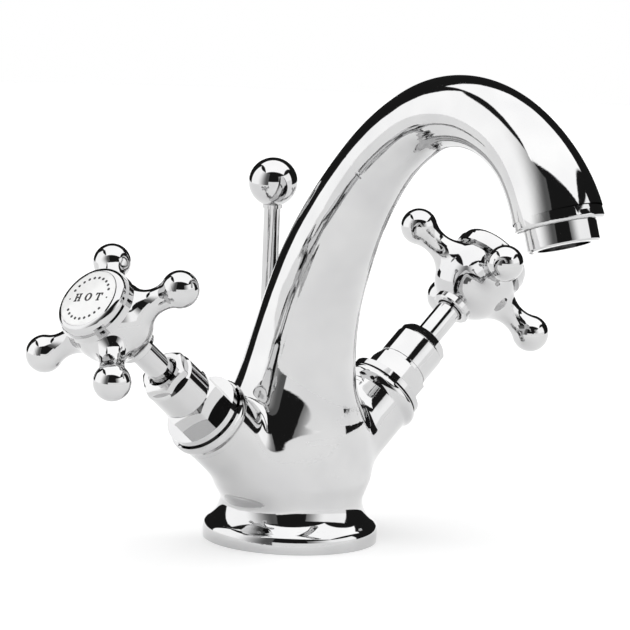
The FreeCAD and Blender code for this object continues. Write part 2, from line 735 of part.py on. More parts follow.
def make_discs(side):
    """The rubber seat and the two ceramic discs that open and close the water's way."""
    seat = new_body(f"{side}_valve_seat")
    turn(seat, "ring", [
        (dims.seat_bore_radius, dims.seat_bottom), (dims.seat_radius, dims.seat_bottom),
        (dims.seat_radius, dims.shell_start), (dims.fixed_disc_radius, dims.shell_start),
        (dims.fixed_disc_radius, dims.seat_top), (dims.seat_bore_radius, dims.seat_top)])
    discs = []
    for label, radius, bottom, top in (
            ("fixed_disc", dims.fixed_disc_radius, dims.seat_top, dims.fixed_disc_top),
            ("moving_disc", dims.moving_disc_radius, dims.moving_disc_bottom, dims.moving_disc_top)):
        disc = new_body(f"{side}_{label}")
        turn(disc, "blank", [(0, bottom), (radius, bottom), (radius, top), (0, top)])
        port = extrude(disc, "port", lambda sketch: draw_circle(
            sketch, dims.disc_port_radius, 0, dims.disc_port_offset), bottom, top - bottom, True)
        pattern(disc, port, 2)
        discs.append(disc)
    half_width = dims.drive_slot_width * 0.5
    half_length = dims.moving_disc_radius + 1
    extrude(discs[1], "slot", lambda sketch: draw_outline(sketch, [
        (half_length, -half_width), (half_length, half_width), (-half_length, half_width),
        (-half_length, -half_width)]), dims.moving_disc_top - dims.drive_slot_depth,
        dims.drive_slot_depth, True)
    return [seat] + discs


def make_spindle(side):
    """The brass spindle with its tang, seal grooves, clip groove and splined end."""
    spindle = new_body(f"{side}_spindle")
    corners = [
        (0, dims.drive_flange_bottom), (dims.drive_flange_radius, dims.drive_flange_bottom),
        (dims.drive_flange_radius, dims.drive_flange_top), (dims.spindle_neck_radius, dims.drive_flange_top),
        (dims.spindle_neck_radius, dims.spindle_neck_top), (dims.spindle_body_radius, dims.spindle_neck_top)]
    half = dims.ring_groove_width * 0.5
    for station in (dims.lower_ring_station, dims.upper_ring_station):
        corners += [
            (dims.spindle_body_radius, station - half), (dims.ring_groove_radius, station - half),
            (dims.ring_groove_radius, station + half), (dims.spindle_body_radius, station + half)]
    corners += [
        (dims.spindle_body_radius, dims.spindle_body_top), (dims.spindle_radius, dims.spindle_body_top),
        (dims.spindle_radius, dims.clip_bottom), (dims.clip_groove_radius, dims.clip_bottom),
        (dims.clip_groove_radius, dims.clip_bottom + dims.clip_thickness),
        (dims.spindle_radius, dims.clip_bottom + dims.clip_thickness),
        (dims.spindle_radius, dims.spline_start), (dims.spline_root_radius, dims.spline_start),
        (dims.spline_root_radius, dims.spindle_top), (0, dims.spindle_top)]
    turn(spindle, "shaft", corners)
    half_width = dims.tang_width * 0.5
    half_length = dims.tang_length * 0.5
    extrude(spindle, "tang", lambda sketch: draw_outline(sketch, [
        (half_length, -half_width), (half_length, half_width), (-half_length, half_width),
        (-half_length, -half_width)]), dims.tang_bottom, dims.drive_flange_bottom - dims.tang_bottom)

    def draw_splines(sketch):
        corners = []
        for tooth in range(SPLINE_TEETH):
            for part, radius in ((0.0, dims.spline_root_radius), (0.3, dims.spindle_radius),
                                 (0.6, dims.spindle_radius), (0.9, dims.spline_root_radius)):
                angle = 2 * math.pi * (tooth + part) / SPLINE_TEETH
                corners.append((radius * math.cos(angle), radius * math.sin(angle)))
        draw_outline(sketch, corners)
    extrude(spindle, "splines", draw_splines, dims.spline_start, dims.spindle_top - dims.spline_start)
    drill(spindle, "thread", dims.spindle_thread_radius, dims.spindle_top - dims.spindle_thread_depth,
          dims.spindle_top)
    return spindle


def make_spindle_rings(side):
    """The two O-rings on the spindle, as one node of two solids."""
    wires = []
    for name, station in (("lower", dims.lower_ring_station), ("upper", dims.upper_ring_station)):
        wire = doc.addObject("Part::Torus", f"{side}_{name}_ring")
        wire.Radius1 = dims.ring_groove_radius.value + dims.ring_wire_radius.value
        wire.setExpression("Radius1", (dims.ring_groove_radius + dims.ring_wire_radius).text)
        wire.setExpression("Radius2", dims.ring_wire_radius.text)
        wire.Placement = Placement(Vector(0, 0, station.value), Rotation())
        wire.setExpression("Placement.Base.z", station.text)
        wires.append(wire)
    rings = doc.addObject("Part::Compound", f"{side}_spindle_rings")
    rings.Links = wires
    return rings


def make_retainers(side):
    """The thrust washer on the bearing, and the spring clip that holds the spindle down."""
    washer = new_body(f"{side}_thrust_washer")
    ring(washer, dims.bearing_radius, dims.thrust_washer_radius, dims.thrust_washer_bottom,
         dims.thrust_washer_top)
    clip = new_body(f"{side}_spring_clip")
    ring(clip, dims.clip_groove_radius + 0.02, dims.clip_outer_radius, dims.clip_bottom + 0.02,
         dims.clip_bottom + dims.clip_thickness - 0.02)
    half = dims.clip_gap * 0.5
    extrude(clip, "mouth", lambda sketch: draw_outline(
        sketch, [(0, -half), (dims.clip_outer_radius + 1, -half), (dims.clip_outer_radius + 1, half),
                 (0, half)]), dims.clip_bottom, dims.clip_thickness, True)
    return [washer, clip]


def make_stem(side):
    """The chrome sleeve over the spindle, and the splined bush between spindle and hub."""
    sleeve = new_body(f"{side}_stem_sleeve")
    ring(sleeve, dims.stem_bore_radius, dims.stem_radius, dims.stem_bottom, dims.stem_top)
    bush = new_body(f"{side}_spline_bush")
    ring(bush, dims.spline_bush_bore, dims.spline_bush_radius, dims.spline_start, dims.spline_bush_top)
    return [sleeve, bush]


def make_handle(side):
    """The cross handle: a round hub with a collar below, a crown above and four arms
    that end in balls."""
    handle = new_body(f"{side}_cross_handle")
    centre = dims.handle_station
    hub = dims.hub_radius
    seam_low = centre.value - math.sqrt(hub.value ** 2 - dims.hub_collar_radius.value ** 2)
    seam_high = math.sqrt(hub.value ** 2 - (dims.crown_top.value - centre.value) ** 2)
    turn(handle, "hub", [
        (0, dims.hub_collar_bottom),
        (dims.hub_collar_radius - dims.hub_collar_chamfer, dims.hub_collar_bottom),
        (dims.hub_collar_radius, dims.hub_collar_bottom + dims.hub_collar_chamfer),
        (dims.hub_collar_radius, as_size(seam_low)), (hub, centre, hub),
        (as_size(seam_high), dims.crown_top, hub), (0, dims.crown_top)],
        offset=Placement(Vector(), Rotation(Y_AXIS, 45)))
    reach = dims.arm_reach
    ball = dims.arm_ball_radius
    neck = dims.handle_neck_radius
    fillet = dims.arm_fillet
    neck_end = reach.value - math.sqrt((ball.value + fillet.value) ** 2 - (neck.value + fillet.value) ** 2)
    share = ball.value / (ball.value + fillet.value)
    tangent = (as_size((neck.value + fillet.value) * share),
               as_size(reach.value + (neck_end - reach.value) * share))
    arm = turn(handle, "arm", [
        (0, 6), (neck, 6), (neck, as_size(neck_end)), (tangent[0], tangent[1], -fillet),
        (ball, reach, ball), (0, reach + ball, ball)],
        offset=Placement(Vector(0, centre.value, 0), Rotation(Z_AXIS, -90)))
    pattern(handle, arm, 4)

    def is_arm_root(edge):
        if edge.Degenerated:
            return False
        points = [point - Z_AXIS * centre.value for point in edge.discretize(5)]
        from_arms = [min(math.hypot(p.x, p.z), math.hypot(p.y, p.z)) for p in points]
        return (all(abs(point.Length - hub.value) < 1e-3 for point in points)
                and all(abs(distance - neck.value) < 1e-3 for distance in from_arms))
    round_edges(handle, "arm_roots", fillet, is_arm_root)
    turn(handle, "crown", [
        (0, dims.crown_bottom), (dims.crown_radius, dims.crown_bottom),
        (dims.crown_radius, dims.crown_top), (0, dims.crown_top)])
    drill(handle, "bore", dims.hub_bore_radius, dims.hub_collar_bottom, dims.hub_bore_top)
    drill(handle, "screw_hole", dims.screw_hole_radius, dims.hub_bore_top - 1, dims.crown_socket_floor + 1)
    drill(handle, "socket", dims.crown_socket_radius, dims.crown_socket_floor, dims.crown_top)
    return handle


def make_index(side):
    """The handle's screw, and the index cap that hides it."""
    screw = new_body(f"{side}_handle_screw")
    turn(screw, "outside", [
        (0, dims.screw_bottom), (dims.screw_core_radius, dims.screw_bottom),
        (dims.screw_core_radius, dims.spindle_top), (dims.screw_radius, dims.spindle_top),
        (dims.screw_radius, dims.crown_socket_floor), (dims.screw_head_radius, dims.crown_socket_floor),
        (dims.screw_head_radius, dims.screw_head_top), (0, dims.screw_head_top)])
    extrude(screw, "drive", hexagon(dims.screw_drive_across_flats, 0),
            dims.screw_head_top - dims.screw_drive_depth, dims.screw_drive_depth, True)
    bezel = new_body(f"{side}_index_bezel")
    turn(bezel, "ring", [
        (dims.bezel_ledge_radius, dims.bezel_shank_bottom),
        (dims.bezel_shank_radius, dims.bezel_shank_bottom),
        (dims.bezel_shank_radius, dims.crown_top), (dims.bezel_radius, dims.crown_top),
        (dims.bezel_radius, dims.bezel_shoulder),
        (dims.bezel_window_radius + 0.1, dims.bezel_top, dims.bezel_round),
        (dims.bezel_window_radius, dims.bezel_top - 0.1), (dims.bezel_window_radius, dims.bezel_ledge),
        (dims.bezel_ledge_radius, dims.bezel_ledge)])
    disc = new_body(f"{side}_index_disc")
    crown, rim = dims.index_crown_radius.value, dims.index_radius.value
    sag = crown - math.sqrt(crown ** 2 - rim ** 2)
    turn(disc, "disc", [
        (0, dims.bezel_ledge), (dims.index_radius, dims.bezel_ledge),
        (dims.index_radius, dims.index_edge_top),
        (0, dims.index_edge_top + sag, dims.index_crown_radius)])
    return [screw, bezel, disc]


NUT_ANGLES = {"hot": (6, 48), "cold": (3, 20)}


def make_valve(side):
    """Everything on one valve axis."""
    parts = make_bonnet(side, *NUT_ANGLES[side])
    parts += make_discs(side)
    parts += [make_spindle(side), make_spindle_rings(side)]
    parts += make_retainers(side)
    parts += make_stem(side)
    parts += make_index(side)
    for body in parts:
        tilt_valve_part(body, side)
    handle = make_handle(side)
    turned = getattr(dims, f"{side}_handle_turn").value
    handle.Placement = Placement(
        Vector(0, 0, dims.valve_origin_height.value),
        Rotation(SIDES[side], dims.valve_tilt.value).multiply(Rotation(Z_AXIS, turned)))


def write_parts():
    """Check every object, then write each sub-part to a STEP file named after it."""
    doc.recompute()
    failed = [item.Label for item in doc.Objects if {"Invalid", "Error"} & set(item.State)]
    if failed:
        raise SystemExit(f"these objects failed: {failed}")
    sub_parts = [item for item in doc.Objects if item.TypeId in ("PartDesign::Body", "Part::Compound")]
    os.makedirs("parts", exist_ok=True)
    for item in sub_parts:
        if item.Shape.isNull() or not item.Shape.isValid():
            raise SystemExit(f"{item.Label} has no valid shape")
        item.Shape.exportStep(os.path.join("parts", f"{item.Label}.step"))
        print(f"{item.Label:24s} {len(item.Shape.Solids)} solid, {item.Shape.Volume:10.1f} mm3")


make_body_casting()
make_base_parts()
make_lift_rod()
make_aerator()
for valve_side in SIDES:
    make_valve(valve_side)
write_parts()
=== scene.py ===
"""Looks for the basin mixer: polished chrome, porcelain index discs and a plain white studio."""

import json
import math

import bmesh
import bpy
import numpy as np
from mathutils import Matrix, Vector


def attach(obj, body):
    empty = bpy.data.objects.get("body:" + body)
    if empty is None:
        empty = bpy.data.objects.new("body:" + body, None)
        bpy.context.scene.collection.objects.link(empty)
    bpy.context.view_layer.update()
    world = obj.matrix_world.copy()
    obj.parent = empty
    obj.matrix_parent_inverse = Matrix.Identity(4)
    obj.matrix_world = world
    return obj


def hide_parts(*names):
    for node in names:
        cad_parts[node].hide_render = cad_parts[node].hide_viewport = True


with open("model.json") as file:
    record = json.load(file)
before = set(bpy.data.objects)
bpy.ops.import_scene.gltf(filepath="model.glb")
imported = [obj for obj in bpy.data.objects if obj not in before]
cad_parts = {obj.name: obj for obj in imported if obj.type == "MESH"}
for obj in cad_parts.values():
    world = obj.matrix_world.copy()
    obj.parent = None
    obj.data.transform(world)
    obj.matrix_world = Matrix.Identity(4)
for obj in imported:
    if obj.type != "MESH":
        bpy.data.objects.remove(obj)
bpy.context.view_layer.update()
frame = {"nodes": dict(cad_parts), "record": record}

MM_PER_M = 1000


# ---- node helpers --------------------------------------------------------------------

class Graph:
    """Short ways to add nodes to one node tree."""

    def __init__(self, tree):
        self.tree = tree
        tree.nodes.clear()

    def node(self, kind, **settings):
        node = self.tree.nodes.new(kind)
        for name, value in settings.items():
            setattr(node, name, value)
        return node

    def link(self, value, socket):
        """Feed a socket from another socket, or set it to a plain value."""
        if isinstance(value, bpy.types.NodeSocket):
            self.tree.links.new(value, socket)
        else:
            socket.default_value = value

    def math(self, operation, *values):
        node = self.node("ShaderNodeMath", operation=operation)
        for value, socket in zip(values, node.inputs):
            self.link(value, socket)
        return node.outputs[0]

    def add(self, first, *others):
        for other in others:
            first = self.math("ADD", first, other)
        return first

    def times(self, first, *others):
        for other in others:
            first = self.math("MULTIPLY", first, other)
        return first

    def dot(self, vector, axis):
        node = self.node("ShaderNodeVectorMath", operation="DOT_PRODUCT")
        self.link(vector, node.inputs[0])
        node.inputs[1].default_value = axis
        return node.outputs["Value"]

    def step(self, value, start, end):
        """0 below start and 1 above end, with a smooth change between them."""
        node = self.node("ShaderNodeMapRange", interpolation_type="SMOOTHSTEP")
        self.link(value, node.inputs["Value"])
        flip = start > end
        node.inputs["From Min"].default_value = min(start, end)
        node.inputs["From Max"].default_value = max(start, end)
        node.inputs["To Min"].default_value = 1.0 if flip else 0.0
        node.inputs["To Max"].default_value = 0.0 if flip else 1.0
        return node.outputs["Result"]

    def band(self, value, low, high):
        """1 between low and high and 0 outside, with soft edges."""
        rise = self.step(value, low - PANEL_EDGE / 2, low + PANEL_EDGE / 2)
        fall = self.step(value, high + PANEL_EDGE / 2, high - PANEL_EDGE / 2)
        return self.times(rise, fall)

    def patch(self, first, first_limits, second, second_limits):
        """1 where both values lie between their limits, 0 elsewhere."""
        return self.times(self.band(first, *first_limits), self.band(second, *second_limits))


# ---- studio --------------------------------------------------------------------------

# The camera: angles round the object and metres; lens and sensor in millimetres.
VIEW_AZIMUTH = math.radians(-42.08)
VIEW_ELEVATION = math.radians(9.98)
VIEW_ROLL = math.radians(2.19)
VIEW_DISTANCE = 1.7326
VIEW_CENTRE = (0, 0, 0.075)
VIEW_AIM = (0.0049, -0.0066)
LENS = 329.0
SENSOR = 36
CLIP_END = 50

# What the metal reflects, in degrees: azimuth to the right of the camera's direction,
# elevation above the horizon.  A fade goes from its first angle to its second.
PANEL_EDGE = 2
LEFT_AZIMUTH, LEFT_ELEVATION = (-121, -22), (-12, 45)
LEFT_LIGHT, LEFT_GAIN, LEFT_FADE = 0.12, 1.4, (-30, -80)
RIGHT_AZIMUTH, RIGHT_ELEVATION = (26, 99), (7, 31)
RIGHT_LIGHT, RIGHT_GAIN, RIGHT_FADE = 0.25, 1.2, (25, 60)
OVERHEAD_PITCH, OVERHEAD_ACROSS, OVERHEAD_LIGHT = (55, 132), (-33, 46), 1.6
TABLE_AZIMUTH, TABLE_ELEVATION, TABLE_LIGHT = (-22, 99), (-12, 7), 1.15
GROUND_FADE, GROUND_LIGHT = (-11, -13), 1.1
GAP_LIGHT = 0.015

FLOOR_RADIUS = 1.0
FLOOR_SIDES = 128
FLOOR_WHITE = 0.9
FLOOR_ROUGHNESS = 0.8
FLOOR_GLOW = 0.3


def make_camera():
    """A long lens from the front left and slightly above."""
    az, el = VIEW_AZIMUTH, VIEW_ELEVATION
    back = Vector((math.sin(az) * math.cos(el), -math.cos(az) * math.cos(el), math.sin(el)))
    right = Vector((math.cos(az), math.sin(az), 0))
    up = back.cross(right)
    turn = Matrix.Rotation(VIEW_ROLL, 3, back)
    right, up = turn @ right, turn @ up
    place = Vector(VIEW_CENTRE) + right * VIEW_AIM[0] + up * VIEW_AIM[1] + back * VIEW_DISTANCE
    data = bpy.data.cameras.new("camera")
    data.lens = LENS
    data.sensor_width = SENSOR
    data.clip_end = CLIP_END
    camera = bpy.data.objects.new("camera", data)
    facing = Matrix((right, up, back)).transposed()
    camera.matrix_world = Matrix.Translation(place) @ facing.to_4x4()
    bpy.context.scene.collection.objects.link(camera)
    bpy.context.scene.camera = camera


def make_world():
    """White panels to the left, right and overhead and a white table in front, with black
    gaps between them, as in a studio for polished metal.  Seen directly, all is white."""
    world = bpy.data.worlds.new("studio")
    bpy.context.scene.world = world
    world.use_nodes = True
    g = Graph(world.node_tree)
    way = g.node("ShaderNodeTexCoord").outputs["Generated"]
    az = VIEW_AZIMUTH
    ahead = g.dot(way, (math.sin(az), -math.cos(az), 0))
    aside = g.dot(way, (math.cos(az), math.sin(az), 0))
    rise = g.dot(way, (0, 0, 1))
    elevation = g.math("DEGREES", g.math("ARCSINE", rise))
    azimuth = g.math("DEGREES", g.math("ARCTAN2", aside, ahead))
    # side panels: each fades towards the camera's side, and the left one stands taller
    left = g.patch(azimuth, LEFT_AZIMUTH, elevation, LEFT_ELEVATION)
    left = g.times(left, g.add(LEFT_LIGHT, g.times(g.step(azimuth, *LEFT_FADE), LEFT_GAIN)))
    right = g.patch(azimuth, RIGHT_AZIMUTH, elevation, RIGHT_ELEVATION)
    right = g.times(right, g.add(RIGHT_LIGHT, g.times(g.step(azimuth, *RIGHT_FADE), RIGHT_GAIN)))
    # overhead panel, from above the camera to behind the object
    pitch = g.math("DEGREES", g.math("ARCTAN2", rise, ahead))
    across = g.math("DEGREES", g.math("ARCSINE", aside))
    overhead = g.times(g.patch(pitch, OVERHEAD_PITCH, across, OVERHEAD_ACROSS), OVERHEAD_LIGHT)
    below = g.times(g.step(elevation, *GROUND_FADE), GROUND_LIGHT)
    # the far edge of the table, in front of the object, as bright as its top
    table = g.times(g.patch(azimuth, TABLE_AZIMUTH, elevation, TABLE_ELEVATION), TABLE_LIGHT)
    studio = g.add(left, right, overhead, below, table, GAP_LIGHT)
    seen = g.node("ShaderNodeLightPath").outputs["Is Camera Ray"]
    strength = g.add(g.times(studio, g.math("SUBTRACT", 1.0, seen)), seen)
    background = g.node("ShaderNodeBackground")
    background.inputs["Color"].default_value = (1, 1, 1, 1)
    g.link(strength, background.inputs["Strength"])
    output = g.node("ShaderNodeOutputWorld")
    g.link(background.outputs[0], output.inputs["Surface"])


def make_floor():
    """A round white table top."""
    bpy.ops.mesh.primitive_circle_add(vertices=FLOOR_SIDES, radius=FLOOR_RADIUS, fill_type="NGON")
    floor = bpy.context.active_object
    floor.name = "floor"
    material = bpy.data.materials.new("floor")
    material.use_nodes = True
    shader = material.node_tree.nodes["Principled BSDF"]
    shader.inputs["Base Color"].default_value = (FLOOR_WHITE, FLOOR_WHITE, FLOOR_WHITE, 1)
    shader.inputs["Roughness"].default_value = FLOOR_ROUGHNESS
    shader.inputs["Specular IOR Level"].default_value = 0.0
    shader.inputs["Emission Color"].default_value = (1, 1, 1, 1)
    shader.inputs["Emission Strength"].default_value = FLOOR_GLOW
    floor.data.materials.append(material)


# ---- materials -----------------------------------------------------------------------

NOISE_LOW, NOISE_HIGH = 0.3, 0.7


class Finish(Graph):
    """A surface material with uneven roughness and a slightly uneven surface."""

    def __init__(self, name, metallic=0.0):
        material = bpy.data.materials.new(name)
        material.use_nodes = True
        super().__init__(material.node_tree)
        self.material = material
        self.shader = self.node("ShaderNodeBsdfPrincipled")
        self.shader.inputs["Metallic"].default_value = metallic
        output = self.node("ShaderNodeOutputMaterial")
        self.link(self.shader.outputs[0], output.inputs["Surface"])
        self.place = self.node("ShaderNodeTexCoord").outputs["Object"]

    def noise(self, scale, detail=2.0, stretch=(1, 1, 1)):
        """Noise with a given number of waves to the metre."""
        mapping = self.node("ShaderNodeMapping")
        mapping.inputs["Scale"].default_value = stretch
        self.link(self.place, mapping.inputs["Vector"])
        noise = self.node("ShaderNodeTexNoise")
        self.link(mapping.outputs[0], noise.inputs["Vector"])
        noise.inputs["Scale"].default_value = scale
        noise.inputs["Detail"].default_value = detail
        return noise.outputs["Fac"]

    def spread(self, value, low, high):
        """Map the span where most of the noise lies onto a range."""
        node = self.node("ShaderNodeMapRange")
        self.link(value, node.inputs["Value"])
        node.inputs["From Min"].default_value = NOISE_LOW
        node.inputs["From Max"].default_value = NOISE_HIGH
        node.inputs["To Min"].default_value = low
        node.inputs["To Max"].default_value = high
        return node.outputs["Result"]

    def color(self, value, dark, light):
        """Uneven color between two close shades."""
        node = self.node("ShaderNodeMix", data_type="RGBA")
        self.link(self.spread(value, 0.0, 1.0), node.inputs["Factor"])
        node.inputs["A"].default_value = (*dark, 1)
        node.inputs["B"].default_value = (*light, 1)
        self.link(node.outputs["Result"], self.shader.inputs["Base Color"])

    def roughness(self, value, low, high):
        self.link(self.spread(value, low, high), self.shader.inputs["Roughness"])

    def bumps(self, *layers):
        """Raise the surface by layers of (height map, metres)."""
        normal = None
        for height, distance in layers:
            bump = self.node("ShaderNodeBump")
            bump.inputs["Distance"].default_value = distance
            self.link(height, bump.inputs["Height"])
            if normal:
                self.link(normal, bump.inputs["Normal"])
            normal = bump.outputs[0]
        self.link(normal, self.shader.inputs["Normal"])


def chrome():
    """Plated and hand polished: a mirror with faint waves, smears and water spots."""
    f = Finish("polished_chrome", 1.0)
    f.color(f.noise(60), (0.55, 0.55, 0.555), (0.61, 0.61, 0.61))
    f.roughness(f.noise(420, 4), 0.015, 0.07)
    f.bumps((f.noise(70, 1), 0.00016), (f.noise(900, 2), 0.000004))
    return f.material


def brass():
    """Turned and left bare, with fine tool marks and dull patches."""
    f = Finish("turned_brass", 1.0)
    f.color(f.noise(180), (0.62, 0.44, 0.2), (0.8, 0.62, 0.3))
    f.roughness(f.noise(500, 4), 0.2, 0.38)
    f.bumps((f.noise(300, 3, (1, 1, 14)), 0.00002))
    return f.material


def steel():
    """Brushed stainless steel."""
    f = Finish("stainless_steel", 1.0)
    f.color(f.noise(120), (0.5, 0.5, 0.49), (0.64, 0.64, 0.62))
    f.roughness(f.noise(700, 4, (12, 1, 1)), 0.18, 0.36)
    f.bumps((f.noise(700, 3, (12, 1, 1)), 0.00001))
    return f.material


def porcelain():
    """White body under a clear glaze that pools a little."""
    f = Finish("glazed_porcelain")
    f.color(f.noise(260, 3), (0.93, 0.93, 0.925), (0.96, 0.96, 0.955))
    f.roughness(f.noise(600, 2), 0.05, 0.12)
    f.bumps((f.noise(240, 1), 0.00004))
    return f.material


def glaze():
    """Fired-on black lettering."""
    f = Finish("black_glaze")
    f.color(f.noise(900, 2), (0.012, 0.012, 0.014), (0.03, 0.03, 0.03))
    f.roughness(f.noise(1200, 2), 0.2, 0.4)
    f.bumps((f.noise(1500, 2), 0.00001))
    return f.material


def moulded(name, dark, light, roughness, grain, spread=0.07):
    """Ceramic, plastic or rubber out of a mould, with its grain."""
    f = Finish(name)
    f.color(f.noise(300, 3), dark, light)
    f.roughness(f.noise(800, 3), roughness - spread, roughness + spread)
    f.bumps((f.noise(1600, 3), grain))
    return f.material


MATERIALS = {
    "chrome": chrome(),
    "brass": brass(),
    "steel": steel(),
    "porcelain": porcelain(),
    "glaze": glaze(),
    "ceramic": moulded("lapped_ceramic", (0.74, 0.73, 0.7), (0.82, 0.81, 0.78), 0.4, 0.000008),
    "white_plastic": moulded(
        "moulded_plastic", (0.7, 0.7, 0.68), (0.78, 0.78, 0.76), 0.42, 0.00002),
    "black_rubber": moulded(
        "moulded_rubber", (0.012, 0.012, 0.012), (0.03, 0.03, 0.03), 0.62, 0.00003),
}


# ---- body casting --------------------------------------------------------------------
# Lengths in this part are millimetres until the mesh is made.

# The round foot, and the spout up from the waist: arcs as (radius, degrees turned), and
# outer radii at even steps from the waist to the outlet.
COVE_CENTRE = (31.5, 13.417)
COVE_RADIUS = 10.0
COVE_FOOT = 4.4
WAIST_HEIGHT = 13.5
ROOT_HEIGHT = 32.4
SPOUT_ARCS = ((130.7, 41.4), (72.0, 18.8), (41.5, 100.2))
SPOUT_RADII = (21.5, 19.2, 15.45, 13.4, 11.4, 10.45, 10.6, 11.4, 13.4)
SPOUT_LENGTH = ROOT_HEIGHT - WAIST_HEIGHT + sum(r * math.radians(a) for r, a in SPOUT_ARCS)

# The root of the spout leans back a little, between these heights.
ROOT_LEAN = -0.5
LEAN_RISE = (WAIST_HEIGHT, 38.0)
LEAN_FALL = (42.0, 62.0)

# The valve arms: stations along the valve's axis, radii there, and the hollow between.
VALVE_TILT = math.radians(50)
VALVE_ORIGIN = 11.6
ARM_STATIONS = (6.0, 36.0)
ARM_RADII = (15.6, 11.8)
ARM_SWEEP = 110.0

# The shoulder: centre height, half height, half width and half depth, with powers that
# square off its plan and its side.
SHOULDER_HEIGHT = 24.0
SHOULDER_HALF = 22.0
SHOULDER_SPREAD = (21.0, 16.6)
SHOULDER_FLARE = 0.03
SHOULDER_SQUARE = 3.0
SHOULDER_PLAN = 3.2

# Fillet widths, which start between two heights and shrink along the arms.
SHOULDER_BLEND = 9.0
ARM_BLEND = 10.0
BLEND_START = (8.0, 19.0)
BLEND_LEAST = 1e-3
ARM_BLEND_LOSS = 0.62
ARM_BLEND_STATIONS = (20.0, 41.0)

# The lift rod's hole behind the spout.
ROD_OFFSET = 13.4
BUSH_HOLE = 3.32
BUSH_LIP = 0.1
DRILL_HEIGHT = 44
DRILL_LENGTH = 60
DRILL_SIDES = 64

# Where the smooth skin ends, how far each end's cut reaches, and how deep under the
# casting's plain surface its old skin can lie.
SKIN_BOTTOM = 6.6
SKIN_ARM_END = 40.5
SKIN_OUTLET_GAP = 3.0
SKIN_DEPTH = 1.6
ARM_END_REACH = 20.0
CUT_REACH = (1000, ARM_END_REACH, ARM_END_REACH, 30)
TRIM_MARGIN = 1.5

# The skin's first rough mesh, and how it settles.
TUBE_SIDES = 96
FOOT_RINGS = 12
SPOUT_RINGS = 140
ARM_RINGS = 30
ARM_SPAN = (2, 45)
FOOT_OVERLAP = 1.0
WAIST_OVERLAP = 0.5
OUTLET_OVERLAP = 4.0
VOXEL = 0.8
STEP_LIMIT = 1.5
LEAST_STEEPNESS = 0.1
FIRST_SETTLING = 5
LATER_SETTLING = 2
RELAX_ROUNDS = 4
MERGE_DISTANCE = 1e-4
SHARP_ANGLE = math.radians(30)


def ease(value, start, end):
    """0 below start and 1 above end, with a smooth change between them."""
    t = np.clip((value - start) / (end - start), 0, 1)
    return t * t * (3 - 2 * t)


def spout_segments():
    """The centreline's arcs as centre, radius, first and last heading, and distance run."""
    y, z, heading, run = 0.0, ROOT_HEIGHT, math.pi / 2, ROOT_HEIGHT - WAIST_HEIGHT
    segments = []
    for radius, turned in SPOUT_ARCS:
        centre = (y - radius * math.sin(heading), z - radius * math.cos(heading))
        last = heading - math.radians(turned)
        segments.append((centre, radius, heading, last, run))
        y, z = centre[0] + radius * math.sin(last), centre[1] + radius * math.cos(last)
        run += radius * (heading - last)
        heading = last
    return segments, (y, z), heading


ARC_SEGMENTS, OUTLET_PLACE, OUTLET_HEADING = spout_segments()
OUTLET_WAY = (-math.cos(OUTLET_HEADING), math.sin(OUTLET_HEADING))


def spout_radius(run):
    """Outer radius of the spout at a distance from the waist, smooth through SPOUT_RADII."""
    place = np.clip(run / SPOUT_LENGTH, 0, 1) * (len(SPOUT_RADII) - 1)
    first = np.minimum(place.astype(int), len(SPOUT_RADII) - 2)
    t = place - first
    weights = ((-t + 2 * t ** 2 - t ** 3) / 2, (2 - 5 * t ** 2 + 3 * t ** 3) / 2,
               (t + 4 * t ** 2 - 3 * t ** 3) / 2, (t ** 3 - t ** 2) / 2)
    radii = np.array(SPOUT_RADII)
    last = len(radii) - 1
    return sum(radii[np.clip(first + shift, 0, last)] * weight
               for shift, weight in zip((-1, 0, 1, 2), weights))


def spout_point(run):
    """The centreline's y and z and its heading at one distance from the waist."""
    if run <= ROOT_HEIGHT - WAIST_HEIGHT:
        return 0.0, WAIST_HEIGHT + run, math.pi / 2
    for centre, radius, first, last, start in ARC_SEGMENTS:
        heading = first - (run - start) / radius
        if heading >= last:
            return (centre[0] + radius * math.sin(heading),
                    centre[1] + radius * math.cos(heading), heading)
    past = run - SPOUT_LENGTH
    return (OUTLET_PLACE[0] + OUTLET_WAY[0] * past,
            OUTLET_PLACE[1] + OUTLET_WAY[1] * past, OUTLET_HEADING)


def cove_radius(z):
    """Radius of the round foot below the waist, where it flares into the base."""
    drop = np.minimum(COVE_CENTRE[1] - np.maximum(z, COVE_FOOT), COVE_RADIUS)
    return COVE_CENTRE[0] - np.sqrt(COVE_RADIUS ** 2 - np.maximum(drop, 0) ** 2)


def spout_field(p):
    """Distance outside the foot and spout, and the distance run along the centreline."""
    x, y, z = p.T
    y = y + ROOT_LEAN * ease(z, *LEAN_RISE) * (1 - ease(z, *LEAN_FALL))
    rise = np.clip(z, WAIST_HEIGHT, ROOT_HEIGHT)
    across = np.hypot(x, np.hypot(y, z - rise))
    best = across - spout_radius(rise - WAIST_HEIGHT)
    run = rise - WAIST_HEIGHT
    for centre, radius, first, last, start in ARC_SEGMENTS:
        dy, dz = y - centre[0], z - centre[1]
        heading = np.clip(np.arctan2(dy, dz), last, first)
        gap = np.hypot(x, np.hypot(dy - radius * np.sin(heading), dz - radius * np.cos(heading)))
        here = start + radius * (first - heading)
        field = gap - spout_radius(here)
        run = np.where(field < best, here, run)
        best = np.minimum(field, best)
    dy, dz = y - OUTLET_PLACE[0], z - OUTLET_PLACE[1]
    past = np.maximum(dy * OUTLET_WAY[0] + dz * OUTLET_WAY[1], 0)
    gap = np.hypot(x, np.hypot(dy - past * OUTLET_WAY[0], dz - past * OUTLET_WAY[1]))
    field = gap - SPOUT_RADII[-1]
    run = np.where((field < best) & (past > 0), SPOUT_LENGTH + past, run)
    best = np.where(past > 0, np.minimum(field, best), best)
    foot = np.hypot(x, y) - cove_radius(z)
    return np.where(z < WAIST_HEIGHT, foot, best), run


